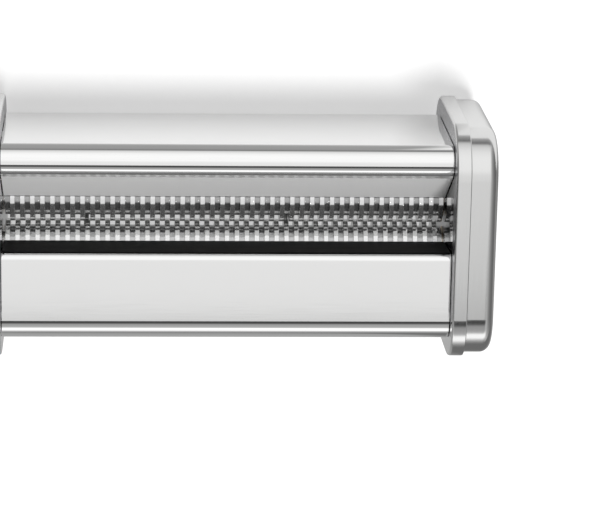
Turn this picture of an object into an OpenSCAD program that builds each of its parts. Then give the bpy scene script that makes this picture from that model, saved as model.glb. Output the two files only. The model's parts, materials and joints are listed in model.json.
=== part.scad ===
// Noodle cutter unit: two interlocking ring rollers in a sheet steel body,
// held between two hollow end caps and turned by a hand crank.
// X runs along the rollers, Z is up, and the caps stand on Z = 0.
// The origin lies on the table under the middle of the whole unit.

/* [Body] */
// Clear width between the two side plates
sheet_w = 140; // [100:1:200]
// Height of the end caps
cap_h = 68; // [64:1:75]
// Depth of the end caps from front to rear
cap_d = 75; // [73:1:90]
// Corner radius of the end caps
cap_r = 15.5; // [11:0.5:18]
// Distance from the cap outline in to the body outline
body_inset = 6.3; // [4:0.1:7]
// Thickness of the cover sheets
sheet_t = 1; // [0.8:0.1:1.4]
// Outer bend radius of the front cover's top corner
front_corner_r = 7; // [5:0.5:8]
// Outer bend radius of the rear cover's top corner
rear_corner_r = 5.5; // [4:0.5:6]
// Height of the cover sheets' lower edge above the table
skirt_z = 14; // [9:0.5:16]
// Width of the return flange along each lower edge
skirt_flange = 6; // [4:0.5:7]

/* [Feed slot] */
// Outer bend radius where the rear cover turns down into the slot
hopper_r = 3.3; // [2:0.1:4]
// Distance from the middle plane to where the rear cover starts to bend down
hopper_y = 25.2; // [20:0.1:25.6]
// Slope of the rear guide wall from the horizontal
hopper_angle = 60; // [54:1:64]
// Gap between the guide walls and the rollers' rings
guide_gap = 1.2; // [0.8:0.1:2]
// Distance of the front cover's lip from the middle plane
lip_y = 3.1; // [2:0.1:5]
// Outer bend radius of the front cover's lip
lip_r = 2.4; // [1.6:0.1:3]
// Lean of the front guide wall away from the slot
front_lean = 16; // [12:1:20]

/* [Rollers] */
// Rings on each roller, and so noodles across the sheet
ring_count = 44; // [20:1:60]
// Outer diameter of the rings
ring_d = 15; // [14:0.1:17]
// Depth of the grooves between the rings
groove_depth = 2; // [1.4:0.1:2.4]
// Depth by which the rings of the two rollers overlap
engagement = 0.4; // [0.2:0.1:0.8]
// Side clearance between meshing rings
ring_gap = 0.05; // [0.03:0.01:0.1]
// Clearance between a roller's end ring and the side plate
end_gap = 0.5; // [0.3:0.1:1]
// Height of the roller axes above the table
axis_z = 30; // [28:0.5:34]
// Diameter of the journals that run in the bushes
journal_d = 8; // [6:0.1:8.6]
// Diameter of the shaft ends that carry the gears
gear_seat_d = 7; // [5:0.1:7.5]

/* [Bearings and gears] */
// Thickness of the side plates
plate_t = 2; // [1.5:0.1:3]
// Outer diameter of the bearing bushes
bush_d = 11; // [10:0.1:12]
// Diameter of the bush flanges
bush_flange_d = 13; // [12.2:0.1:14]
// Thickness of the bush flanges
bush_flange_t = 1.2; // [0.8:0.1:1.6]
// Radial running clearance of shafts in their bushes
run_gap = 0.05; // [0.03:0.01:0.08]
// Teeth on each gear
teeth = 16; // [12:4:20]
// Face width of the gears
gear_w = 4.5; // [3:0.1:5]
// Thickness of the retaining rings
clip_t = 0.8; // [0.6:0.1:1]
// Outer diameter of the retaining rings
clip_d = 11; // [10:0.1:12]

/* [End caps] */
// Width of each cap's inner band
band_w = 4.7; // [4:0.1:6]
// Width of each cap's outer cover
cover_w = 8.6; // [8.4:0.1:12]
// Step from the band's outline in to the cover's outline
cover_step = 1.2; // [0.6:0.1:2]
// Edge radius round the cover's outer face
cover_edge_r = 4; // [2:0.5:5]
// Edge radius round the band's outline
band_edge_r = 0.8; // [0.4:0.1:1.2]
// Wall thickness of the covers
cover_wall = 1.6; // [1.2:0.1:2]
// Width of the band's ledge that the side plate lies on
ledge_w = 4; // [3:0.5:5]

/* [Combs and tie rods] */
// Thickness of the comb plates
comb_t = 0.8; // [0.6:0.1:1.2]
// Gap between a comb finger and the groove's bottom
comb_gap = 0.3; // [0.2:0.05:0.5]
// Side gap between a comb finger and the rings
finger_gap = 0.3; // [0.2:0.05:0.4]
// Reach of the fingers past the roller axis towards the middle plane
finger_reach = 3.5; // [2:0.5:4]
// Overhang of the combs' solid bar past the tie rod under it
comb_rest = 1.5; // [0.5:0.5:3]
// Width of the stays that join the two combs
stay_w = 1.6; // [1.2:0.1:3]
// Thickness of the stays
stay_t = 1.5; // [1:0.1:2]
// Gap between the stays and the rings above them
stay_gap = 0.5; // [0.3:0.1:1]
// Places of the stays along the rollers
stay_x = [-44, 20];
// Diameter of the tie rods
rod_d = 7; // [6:0.5:8]
// Distance of the tie rods from the middle plane
rod_y = 21; // [19:0.5:22]
// Distance of the two upper tie rods below the body's top
upper_rod_drop = 14.7; // [13.5:0.1:16]
// Diameter of the screws that hold the covers to the tie rods
screw_d = 4; // [3:0.1:4.5]
// Diameter of the screw heads
screw_head_d = 7; // [6:0.1:7.5]
// Height of the screw heads
screw_head_h = 2.2; // [1.6:0.1:2.5]
// Wall of the screw bosses inside the covers
boss_wall = 1.6; // [1.2:0.1:2.5]

/* [Hand crank] */
// Width across the flats of the drive hexagon
drive_af = 6; // [5:0.1:6.5]
// Length of the crank's hub outside the cap
hub_l = 14; // [10:0.5:20]
// Diameter of the crank's hub
hub_d = 13; // [11:0.5:16]
// Depth by which the drive hexagon enters the hub
drive_l = 9; // [6:0.5:10]
// Distance from the roller axis to the grip axis
crank_l = 80; // [60:1:100]
// Width of the crank arm
arm_w = 14; // [12:0.5:18]
// Thickness of the crank arm
arm_t = 4; // [3:0.5:5]
// Length of the turning grip
grip_l = 58; // [45:1:75]
// Largest diameter of the grip
grip_d = 19; // [15:0.5:24]
// Diameter of the pin that the grip turns on
grip_pin_d = 6; // [5:0.5:7]

/* [Hidden] */
$fn = 48;

slip = 0.1;
half_w = sheet_w / 2;
body_top = cap_h - body_inset;
body_y = cap_d / 2 - body_inset;

// Rollers: the rings of one lie half a pitch along from the rings of the other
ring_r = ring_d / 2;
root_r = ring_r - groove_depth;
axis_y = (ring_d - engagement) / 2;
ring_pitch = (sheet_w - 2 * end_gap) / ring_count;
ring_w = ring_pitch / 2 - ring_gap;
barrel_x = half_w - end_gap;

// Places along the rollers, counted outwards from the middle
plate_out = half_w + plate_t;
bush_out = plate_out + bush_flange_t;
band_out = half_w + band_w;
cap_out = band_out + cover_w;
cap_inner = cap_out - cover_wall;
gear_in = bush_out + slip;
gear_out = gear_in + gear_w;
clip_in = gear_out + slip;
shaft_end = clip_in + 2 * clip_t;
left_clip_in = bush_out + slip;
left_shaft_end = left_clip_in + 2 * clip_t;
clip_groove_d = gear_seat_d - 1;

// Gears
module_size = 2 * axis_y / teeth;
tooth_top_r = axis_y + 0.8 * module_size;
tooth_root_r = axis_y - 1.1 * module_size;

// Guide walls of the feed slot
hopper_bend = [hopper_y, body_top - hopper_r];
guide_top = hopper_bend + hopper_r * [-sin(hopper_angle), cos(hopper_angle)];
guide_foot_z = axis_z + ring_r + guide_gap;
guide_drop = guide_top[1] - guide_foot_z;
guide_foot = guide_top - guide_drop * [1 / tan(hopper_angle), 1];
lip_bend = [-lip_y - lip_r, body_top - lip_r];
front_top = lip_bend + lip_r * [cos(front_lean), -sin(front_lean)];
front_drop = front_top[1] - guide_foot_z;
front_foot = front_top - front_drop * [tan(front_lean), 1];

// Combs and tie rods
comb_top = axis_z - root_r - comb_gap;
comb_under = comb_top - comb_t;
comb_bar_in = axis_y + sqrt(pow(ring_r, 2) - pow(root_r + comb_gap, 2)) + 0.5;
stay_seat = 3;
upper_rod_z = body_top - upper_rod_drop;
lower_rod_z = comb_under - rod_d / 2;
rod_places = [[rod_y, upper_rod_z], [-rod_y, upper_rod_z],
              [rod_y, lower_rod_z], [-rod_y, lower_rod_z]];
screw_hole_d = screw_d + 0.4;
boss_d = screw_hole_d + 2 * boss_wall;
screw_depth = 10;

// Crank, counted outwards past the left cap
hub_in = cap_out + 1;
hub_out = hub_in + hub_l;
arm_out = hub_out + arm_t;
grip_in = arm_out + 0.5;
grip_out = grip_in + grip_l;
pin_cap_d = grip_pin_d + 5;
pin_cap_t = 2.5;
rivet_t = 1.5;
grip_z = axis_z + crank_l;

// The pieces are drawn about the middle of the slot, and the origin lies under the
// middle of the whole unit, crank included
middle_x = (grip_out + slip + pin_cap_t - cap_out) / 2;

// Moves a piece from the middle of the slot to its place about the origin
module placed() {
  translate([middle_x, 0, 0]) children();
}

// A rectangle with round corners between two Y-Z points
module round_rect(low, high, r) {
  for (y = [low[0] + r, high[0] - r], z = [low[1] + r, high[1] - r]) translate([y, z]) circle(r);
  translate([low[0] + r, low[1]]) square([high[0] - low[0] - 2 * r, high[1] - low[1]]);
  translate([low[0], low[1] + r]) square([high[0] - low[0], high[1] - low[1] - 2 * r]);
}

// Stands a Y-Z outline up as a slab from x0 to x1
module along_x(x0, x1) {
  translate([x0, 0, 0]) rotate([90, 0, 90]) linear_extrude(x1 - x0) children();
}

// A cylinder along X from x0 to x1
module rod_x(x0, x1, d, y = 0, z = 0, sides = $fn) {
  translate([x0, y, z]) rotate([0, 90, 0]) cylinder(h = x1 - x0, d = d, $fn = sides);
}

// Draws the right-hand piece, or its mirror image at the left-hand end
module at_end(side) {
  if (side > 0) children();
  else mirror([1, 0, 0]) children();
}

// Section through a slab's rim, from its middle out to radius r, with a rounded outer edge
module rim_section(r, t, edge) {
  square([r - edge, t]);
  square([r, t - edge]);
  translate([r - edge, t - edge]) circle(edge);
}

// A slab across X with round corners and a rounded edge on its outer face
module soft_slab(x0, x1, d, low, high, r, edge) {
  t = x1 - x0;
  run_y = d - 2 * r;
  run_z = high - low - 2 * r;
  translate([x0, 0, (low + high) / 2]) rotate([90, 0, 90]) {
    translate([-run_y / 2, -run_z / 2, 0]) cube([run_y, run_z, t]);
    for (turn = [0, 180]) rotate(turn) {
      translate([-run_y / 2, run_z / 2, 0]) rotate([90, 0, 90])
        linear_extrude(run_y) rim_section(r, t, edge);
      translate([run_y / 2, run_z / 2, 0]) rotate([90, 0, 0])
        linear_extrude(run_z) rim_section(r, t, edge);
      translate([run_y / 2, run_z / 2, 0]) rotate_extrude(angle = 90) rim_section(r, t, edge);
      translate([-run_y / 2, run_z / 2, 0]) rotate(90)
        rotate_extrude(angle = 90) rim_section(r, t, edge);
    }
  }
}

// Outline of the sheet steel body, moved in by "inset"
module body_outline(inset) {
  y = body_y - inset;
  top = body_top - inset;
  low = skirt_z + inset;
  rear_r = rear_corner_r - sheet_t / 2;
  front_r = front_corner_r - sheet_t / 2;
  translate([-y + front_r, low]) square([2 * y - front_r - rear_r, top - low]);
  translate([-y, low]) square([2 * y - rear_r, top - front_r - low]);
  translate([-y + front_r, low]) square([2 * y - front_r, top - rear_r - low]);
  translate([-y + front_r, top - front_r]) circle(front_r);
  translate([y - rear_r, top - rear_r]) circle(rear_r);
}

// A bent stretch of sheet round a centre, outer radius r, between two angles
module bend(centre, r, a0, a1) {
  mid = (a0 + a1) / 2;
  reach = 2 * r;
  translate(centre) intersection() {
    difference() {
      circle(r);
      circle(r - sheet_t);
    }
    polygon([[0, 0], reach * [cos(a0), sin(a0)], reach * [cos(mid), sin(mid)] / cos((a1 - a0) / 2),
             reach * [cos(a1), sin(a1)]]);
  }
}

// A flat stretch of sheet whose outer face runs from p to q, with the metal on its left
module flat(p, q) {
  along = (q - p) / norm(q - p);
  inward = sheet_t * [-along[1], along[0]];
  polygon([p, q, q + inward, p + inward]);
}

module side_plate(side) {
  color("gainsboro") at_end(side) difference() {
    along_x(half_w, plate_out) body_outline(sheet_t / 2);
    for (s = [-1, 1]) rod_x(half_w - 1, plate_out + 1, bush_d, s * axis_y, axis_z);
    for (p = rod_places) rod_x(half_w - 1, plate_out + 1, screw_hole_d, p[0], p[1]);
  }
}

module cap_band(side) {
  color("silver") at_end(side) difference() {
    soft_slab(half_w, band_out, cap_d, 0, cap_h, cap_r, band_edge_r);
    along_x(half_w - 1, plate_out) body_outline(sheet_t / 2 - slip / 2);
    along_x(half_w - 1, band_out + 1) body_outline(sheet_t / 2 + ledge_w);
    for (p = rod_places) rod_x(half_w - 1, band_out + 1, boss_d + 2 * slip, p[0], p[1]);
  }
}

module cap_cover(side) {
  inner = cover_step + cover_wall;
  color("silver") at_end(side) difference() {
    union() {
      difference() {
        soft_slab(band_out, cap_out, cap_d - 2 * cover_step, cover_step, cap_h - cover_step,
                  cap_r - cover_step, cover_edge_r);
        soft_slab(band_out - 1, cap_inner, cap_d - 2 * inner, inner, cap_h - inner,
                  cap_r - inner, cover_edge_r - cover_wall);
      }
      for (p = rod_places) rod_x(plate_out, cap_inner + slip, boss_d, p[0], p[1]);
    }
    for (p = rod_places) {
      rod_x(plate_out - 1, cap_out + 1, screw_hole_d, p[0], p[1]);
      rod_x(cap_out - screw_head_h, cap_out + 1, screw_head_d + 0.4, p[0], p[1]);
    }
    if (side < 0) rod_x(cap_inner - 1, cap_out + 1, bush_d, -axis_y, axis_z);
  }
}

module rear_cover() {
  color("gainsboro") along_x(-half_w, half_w) {
    flat([body_y - skirt_flange, skirt_z], [body_y, skirt_z]);
    flat([body_y, skirt_z], [body_y, body_top - rear_corner_r]);
    bend([body_y - rear_corner_r, body_top - rear_corner_r], rear_corner_r, 0, 90);
    flat([body_y - rear_corner_r, body_top], [hopper_y, body_top]);
    bend(hopper_bend, hopper_r, 90, 90 + hopper_angle);
    flat(guide_top, guide_foot);
  }
}

module front_cover() {
  color("gainsboro") along_x(-half_w, half_w) {
    flat(front_foot, front_top);
    bend(lip_bend, lip_r, -front_lean, 90);
    flat([-lip_y - lip_r, body_top], [-body_y + front_corner_r, body_top]);
    bend([-body_y + front_corner_r, body_top - front_corner_r], front_corner_r, 90, 180);
    flat([-body_y, body_top - front_corner_r], [-body_y, skirt_z]);
    flat([-body_y, skirt_z], [-body_y + skirt_flange, skirt_z]);
  }
}

// Barrel with rings, whose first ring starts "shift" past the left end of the row
module ring_barrel(shift) {
  first = -barrel_x + shift + ring_gap / 2;
  rings = [for (k = [0:ring_count - 1], p = [[0, root_r], [0, ring_r], [1, ring_r], [1, root_r]])
    [p[1], first + k * ring_pitch + p[0] * ring_w]];
  rotate([0, 90, 0]) rotate_extrude()
    polygon(concat([[0, -barrel_x], [root_r, -barrel_x]], rings,
                   [[root_r, barrel_x], [0, barrel_x]]));
}

// Shaft end with a journal, a reduced seat and a groove for the retaining ring
module shaft_end_x(clip_at, out) {
  rod_x(barrel_x - 1, bush_out, journal_d);
  rod_x(bush_out - 1, clip_at, gear_seat_d);
  rod_x(clip_at - 1, clip_at + clip_t + 0.5, clip_groove_d);
  rod_x(clip_at + clip_t, out, gear_seat_d);
}

module front_roller() {
  color("gainsboro") translate([0, -axis_y, axis_z]) {
    ring_barrel(0);
    shaft_end_x(clip_in, shaft_end);
    mirror([1, 0, 0]) {
      shaft_end_x(left_clip_in, cap_out);
      rod_x(cap_out - 1, hub_in + drive_l, drive_af / cos(30), sides = 6);
    }
  }
}

module rear_roller() {
  color("gainsboro") translate([0, axis_y, axis_z]) {
    ring_barrel(ring_pitch / 2);
    shaft_end_x(clip_in, shaft_end);
    mirror([1, 0, 0]) shaft_end_x(left_clip_in, left_shaft_end);
  }
}

module bush(side, s) {
  color("darkgoldenrod") at_end(side) translate([0, s * axis_y, axis_z]) difference() {
    union() {
      rod_x(half_w, bush_out, bush_d);
      rod_x(plate_out, bush_out, bush_flange_d);
    }
    rod_x(half_w - 1, bush_out + 1, journal_d + 2 * run_gap);
  }
}

// Tooth outline: root, flank, top and flank of each tooth, starting at angle "phase"
function gear_points(phase) = [for (k = [0:teeth - 1],
    p = [[-0.36, tooth_root_r], [-0.22, axis_y], [-0.11, tooth_top_r],
         [0.11, tooth_top_r], [0.22, axis_y], [0.36, tooth_root_r]])
  let (a = phase + 360 / teeth * (k + p[0])) p[1] * [cos(a), sin(a)]];

module gear(s, phase) {
  color("dimgray") difference() {
    along_x(gear_in, gear_out) translate([s * axis_y, axis_z]) polygon(gear_points(phase));
    rod_x(gear_in - 1, gear_out + 1, gear_seat_d, s * axis_y, axis_z);
  }
}

module clip(at) {
  difference() {
    rod_x(at, at + clip_t, clip_d);
    rod_x(at - 1, at + clip_t + 1, clip_groove_d);
  }
}

module roller_clips(s) {
  color("dimgray") translate([0, s * axis_y, axis_z]) {
    clip(clip_in);
    mirror([1, 0, 0]) clip(left_clip_in);
  }
}

// Flat comb whose fingers lie in the grooves of the roller above it
module comb(s, shift) {
  groove = ring_pitch - ring_w;
  finger_w = groove - 2 * finger_gap;
  first = -barrel_x + shift + ring_gap / 2 + ring_w + finger_gap;
  finger_end = axis_y - finger_reach;
  bar_out = rod_y + comb_rest;
  color("silver") translate([0, 0, comb_under]) linear_extrude(comb_t)
    mirror([0, s < 0 ? 1 : 0]) {
      translate([-half_w, comb_bar_in]) square([sheet_w, bar_out - comb_bar_in]);
      for (k = [0:ring_count - 2]) translate([first + k * ring_pitch, finger_end])
        square([finger_w, comb_bar_in + 0.5 - finger_end]);
    }
}

// Strips under the nip, cranked down to pass below the rings and up to the combs' bars
module comb_stays() {
  reach = comb_bar_in + stay_seat;
  bridge_top = axis_z - ring_r - stay_gap;
  color("silver") for (x = stay_x) along_x(x - stay_w / 2, x + stay_w / 2) {
    translate([-reach, bridge_top - stay_t]) square([2 * reach, stay_t]);
    for (s = [0, 1]) mirror([s, 0]) translate([comb_bar_in, bridge_top - stay_t])
      square([stay_seat, comb_under - bridge_top + stay_t]);
  }
}

module tie_rods() {
  color("silver") for (p = rod_places) difference() {
    rod_x(-half_w, half_w, rod_d, p[0], p[1]);
    for (side = [-1, 1]) at_end(side)
      rod_x(half_w - screw_depth - 1, half_w + 1, screw_d, p[0], p[1]);
  }
}

module cap_screws(side) {
  tip = half_w - screw_depth;
  color("dimgray") at_end(side) for (p = rod_places) {
    difference() {
      rod_x(cap_out - screw_head_h, cap_out, screw_head_d, p[0], p[1]);
      rod_x(cap_out - screw_head_h / 2, cap_out + 1, screw_d * 0.6, p[0], p[1], 6);
    }
    rod_x(tip, cap_out - screw_head_h, screw_d, p[0], p[1]);
  }
}

module crank_bush() {
  color("darkgoldenrod") at_end(-1) difference() {
    rod_x(cap_inner, cap_out, bush_d, -axis_y, axis_z);
    rod_x(cap_inner - 1, cap_out + 1, gear_seat_d + 2 * run_gap, -axis_y, axis_z);
  }
}

module crank_hub() {
  color("silver") at_end(-1) translate([0, -axis_y, axis_z]) difference() {
    union() {
      rod_x(hub_in, hub_out, hub_d);
      rod_x(hub_out - 1, arm_out, grip_pin_d);
      rod_x(arm_out, arm_out + rivet_t, grip_pin_d + 3);
    }
    rod_x(hub_in - 1, hub_in + drive_l + slip, (drive_af + slip) / cos(30), sides = 6);
  }
}

module crank_arm() {
  color("silver") at_end(-1) difference() {
    along_x(hub_out, arm_out)
      round_rect([-axis_y - arm_w / 2, axis_z - arm_w / 2],
                 [-axis_y + arm_w / 2, grip_z + arm_w / 2], arm_w / 2 - slip);
    for (z = [axis_z, grip_z]) rod_x(hub_out - 1, arm_out + 1, grip_pin_d, -axis_y, z);
  }
}

module crank_pin() {
  color("silver") at_end(-1) translate([0, -axis_y, grip_z]) {
    rod_x(hub_out - rivet_t, hub_out, grip_pin_d + 3);
    rod_x(hub_out - slip, grip_out + slip, grip_pin_d);
  }
}

// Turning grip: a waisted barrel with a counterbore for the pin's cap
module crank_grip() {
  steps = 12;
  side = [for (i = [0:steps])
    [grip_d / 2 * (0.78 + 0.22 * sin(180 * i / steps)), grip_l * i / steps]];
  color("saddlebrown") at_end(-1) translate([grip_in, -axis_y, grip_z]) difference() {
    rotate([0, 90, 0]) rotate_extrude() polygon(concat([[0, 0]], side, [[0, grip_l]]));
    rod_x(-1, grip_l + 1, grip_pin_d + 2 * run_gap);
  }
}

module crank_pin_cap() {
  color("silver") at_end(-1)
    rod_x(grip_out + slip, grip_out + slip + pin_cap_t, pin_cap_d, -axis_y, grip_z);
}

placed() side_plate(-1);  // left_side_plate
placed() side_plate(1);  // right_side_plate
placed() cap_band(-1);  // left_cap_band
placed() cap_band(1);  // right_cap_band
placed() cap_cover(-1);  // left_cap_cover
placed() cap_cover(1);  // right_cap_cover
placed() rear_cover();
placed() front_cover();
placed() front_roller();
placed() rear_roller();
placed() bush(-1, -1);  // left_front_bush
placed() bush(1, -1);  // right_front_bush
placed() bush(-1, 1);  // left_rear_bush
placed() bush(1, 1);  // right_rear_bush
placed() gear(-1, 0);  // front_gear
placed() gear(1, 180 + 180 / teeth);  // rear_gear
placed() roller_clips(-1);  // front_roller_clips
placed() roller_clips(1);  // rear_roller_clips
placed() comb(-1, 0);  // front_comb
placed() comb(1, ring_pitch / 2);  // rear_comb
placed() comb_stays();
placed() tie_rods();
placed() cap_screws(-1);  // left_cap_screws
placed() cap_screws(1);  // right_cap_screws
placed() crank_bush();
placed() crank_hub();
placed() crank_arm();
placed() crank_pin();
placed() crank_grip();
placed() crank_pin_cap();
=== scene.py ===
"""Dresses the noodle cutter unit: sheet steel body, end caps, ring rollers and hand crank."""

import json
import math

import bmesh
import bpy
from bpy.props import FloatProperty, FloatVectorProperty, IntProperty, PointerProperty
from mathutils import Matrix, Vector


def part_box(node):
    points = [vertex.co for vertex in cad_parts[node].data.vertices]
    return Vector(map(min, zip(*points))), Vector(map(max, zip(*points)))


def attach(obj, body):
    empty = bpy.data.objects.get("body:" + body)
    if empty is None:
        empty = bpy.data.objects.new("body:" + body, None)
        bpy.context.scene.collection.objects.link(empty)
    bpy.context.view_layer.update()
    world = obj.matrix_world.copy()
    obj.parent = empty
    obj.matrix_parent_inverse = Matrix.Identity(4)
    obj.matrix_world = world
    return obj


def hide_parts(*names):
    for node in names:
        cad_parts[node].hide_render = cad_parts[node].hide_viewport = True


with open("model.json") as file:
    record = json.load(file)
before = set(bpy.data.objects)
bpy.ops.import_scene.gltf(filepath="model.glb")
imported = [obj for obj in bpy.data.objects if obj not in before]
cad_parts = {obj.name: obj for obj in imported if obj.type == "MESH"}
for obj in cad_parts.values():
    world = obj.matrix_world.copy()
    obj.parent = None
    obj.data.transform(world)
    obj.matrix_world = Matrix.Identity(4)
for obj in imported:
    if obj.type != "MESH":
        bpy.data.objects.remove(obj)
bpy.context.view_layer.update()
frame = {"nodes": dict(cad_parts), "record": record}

bl_info = {
    "name": "Noodle Cutter Unit",
    "version": (1, 0, 0),
    "blender": (4, 5, 0),
    "location": "View3D > Sidebar > Noodle Cutter",
    "description": "Builds the visible pieces of a noodle cutter unit around its frame",
    "category": "Object",
}

MM = 0.001
TINY = 0.001 * MM
# Least share of X in the normal of an end face
END_FACE = 0.9
X_AXIS = Vector((1, 0, 0))


def corners(node):
    """Lowest and highest corner of a node."""
    low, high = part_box(node)
    return Vector(low), Vector(high)


# Places that the new pieces take from the frame
BAND_LOW, BAND_HIGH = corners("right_cap_band")
CAP_LOW, CAP_HIGH = corners("right_cap_cover")
REAR_LOW, REAR_HIGH = corners("rear_cover")
FRONT_LOW, FRONT_HIGH = corners("front_cover")
PLATE_LOW, PLATE_HIGH = corners("right_side_plate")
ROLLER_LOW, ROLLER_HIGH = corners("front_roller")
MIDDLE_X = (REAR_LOW.x + REAR_HIGH.x) / 2
HALF_W = (REAR_HIGH.x - REAR_LOW.x) / 2
AXIS_Y = -(ROLLER_LOW.y + ROLLER_HIGH.y) / 2
AXIS_Z = (ROLLER_LOW.z + ROLLER_HIGH.z) / 2
RING_R = (ROLLER_HIGH.z - ROLLER_LOW.z) / 2
# Outer face of the left cap, where the drive hexagon starts
LEFT_END = corners("left_cap_cover")[0].x

# Turn of the camera in degrees, its sensor in millimetres and the nearest thing it shows
CAMERA_DEGREES = (-15.5737, -3.2887, 1.0939)
SENSOR_WIDTH = 36.0
NEAREST_SEEN = 10 * MM

# Tone of the studio round the rollers' axis: degrees from straight up towards the front, tone
SKY_BANDS = [
    (-180, 0.35), (-94, 0.2), (-87, 0.22), (-84, 0.55), (-79, 0.78), (-62, 1.02), (-46, 1.1),
    (-16, 1.08), (-2, 0.92), (14, 0.89), (17.2, 0.88), (18.6, 0.06), (29, 0.08), (36, 0.38),
    (46, 0.42), (54, 0.55), (60, 1.3), (71, 1.3), (79, 0.6), (88, 0.28), (100, 0.2), (180, 0.25),
]
# Tone of the studio towards its ends: share of the direction along X, tone
SKY_ENDS = [(-1.0, 0.15), (0.0, 0.88), (0.35, 0.85), (0.6, 0.5), (0.85, 0.25), (1.0, 0.15)]
# Share of the direction along X over which the ends take over from the bands
SKY_ENDS_FROM, SKY_ENDS_FULL = 0.3, 0.6
# Strength of the studio on matt surfaces
SKY_ON_MATT = 0.3
# Painted reflection: tone that metal sees in the floor, darker or lighter by place to stand in for
# shade and a dark room; metres from front to rear, tone
FLOOR_REFLECTION_BANDS = [
    (-0.6, 0.2), (-0.1, 0.26), (-0.05, 0.3), (-0.02, 0.45), (0.03, 0.72), (0.04, 0.66),
    (0.055, 0.5), (0.07, 0.3), (0.1, 0.24), (0.6, 0.2),
]
# The same painted reflection past the right cap, and the places along X over which it takes over
FLOOR_END_REFLECTION_BANDS = [
    (-0.6, 0.12), (-0.1, 0.12), (-0.05, 0.25), (0.0, 0.16), (0.03, 0.25), (0.045, 0.6),
    (0.08, 0.64), (0.22, 0.64), (0.3, 0.3), (0.6, 0.2),
]
FLOOR_END_FROM, FLOOR_END_FULL = CAP_HIGH.x - 13 * MM, CAP_HIGH.x + 2 * MM
# How far from the middle the floor's tones reach
FLOOR_REACH = 0.6


def length(name, description, default):
    """A size in metres, kept as a property."""
    return FloatProperty(name=name, description=description, default=default, unit="LENGTH",
                         precision=5)


def angle(name, description, degrees):
    """An angle given in degrees, kept as a property."""
    return FloatProperty(name=name, description=description, default=math.radians(degrees),
                         subtype="ANGLE")


def colour(name, description, default):
    """A linear colour, kept as a property."""
    return FloatVectorProperty(name=name, description=description, default=default, size=3,
                               subtype="COLOR", min=0.0, max=1.0)


class SheetSizes(bpy.types.PropertyGroup):
    """Sizes of the bent cover sheets."""

    thickness: length("Sheet thickness", "Thickness of the cover sheets", 1.0 * MM)
    rear_corner: length("Rear corner", "Outer bend radius of the rear cover's corner", 5.5 * MM)
    front_corner: length("Front corner", "Outer bend radius of the front corner", 7.0 * MM)
    hopper_y: length("Hopper bend place", "Where the rear cover starts to bend down", 25.6 * MM)
    hopper_r: length("Hopper bend", "Outer bend radius at the top of the guide wall", 4.0 * MM)
    hopper_slope: angle("Hopper slope", "Slope of the rear guide wall", 60)
    # The strip's width is also how far the painted shade at the top of the guide wall runs
    strip: length("Dark strip", "Width of the dark strip at the top of the guide wall", 2.6 * MM)
    shade_strip_bend: angle("Shade strip bend", "How far the strip runs up the guide wall's bend", 30)
    lip_y: length("Lip place", "Distance of the front lip from the middle plane", 2.6 * MM)
    lip_r: length("Lip bend", "Outer bend radius of the front lip", 2.4 * MM)
    front_lean: angle("Front wall lean", "Lean of the front guide wall", 5.5)
    # How far the painted shade on the front sheet's inner side runs up the lip's bend
    inner_shade_reach: angle("Inner shade reach", "How far the dark inner side runs up the lip's bend", 30)
    guide_gap: length("Guide gap", "Gap between the guide walls and the rings", 1.2 * MM)
    end_slit: length("End slit", "Slit between the cover sheets and the caps", 0.25 * MM)
    flange: length("Skirt flange", "Width of the flange along the lower edge", 6.0 * MM)


class CapSizes(bpy.types.PropertyGroup):
    """Sizes of the end caps."""

    corner: length("Corner", "Corner radius of the band", 15.5 * MM)
    inner_corner: length("Inner corner", "Corner radius of the band's opening", 5.0 * MM)
    step: length("Cover step", "Step from the band in to the cover", 1.2 * MM)
    wall: length("Wall", "Wall of the cover", 1.6 * MM)
    head: length("Counterbore", "Diameter of the screws' counterbores", 7.4 * MM)
    head_depth: length("Counterbore depth", "Depth of the screws' counterbores", 2.2 * MM)
    screw_head: length("Screw head", "Diameter of the screw heads", 7.0 * MM)
    bush: length("Bush bore", "Bore for the crank's bush", 11.0 * MM)
    band_edge: length("Band edge", "Edge radius of the band's inner edge", 0.8 * MM)
    seam_edge: length("Seam edge", "Edge radius of the band's edge beside the cover", 0.35 * MM)
    cover_edge: length("Cover edge", "Edge radius of the cover's outer face", 3.3 * MM)


class RollerSizes(bpy.types.PropertyGroup):
    """Sizes of the ring rollers."""

    rings: IntProperty(name="Rings", description="Rings on each roller", default=44, min=4)
    groove: length("Groove depth", "Depth of the grooves", 2.0 * MM)
    end_gap: length("End gap", "Gap between the barrel and the side plate", 0.5 * MM)
    ring_gap: length("Ring gap", "Side clearance between meshing rings", 0.05 * MM)
    chamfer: length("Ring chamfer", "Chamfer on the rings' edges", 0.08 * MM)
    journal: length("Journal", "Diameter of the journals", 8.0 * MM)
    seat: length("Seat", "Diameter of the gear seats", 7.0 * MM)
    clip: length("Clip", "Width of the retaining rings' grooves", 0.8 * MM)
    clip_depth: length("Clip depth", "Depth of the retaining rings' grooves", 0.5 * MM)
    hexagon: length("Drive hexagon", "Width across the flats of the drive hexagon", 6.0 * MM)


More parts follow.
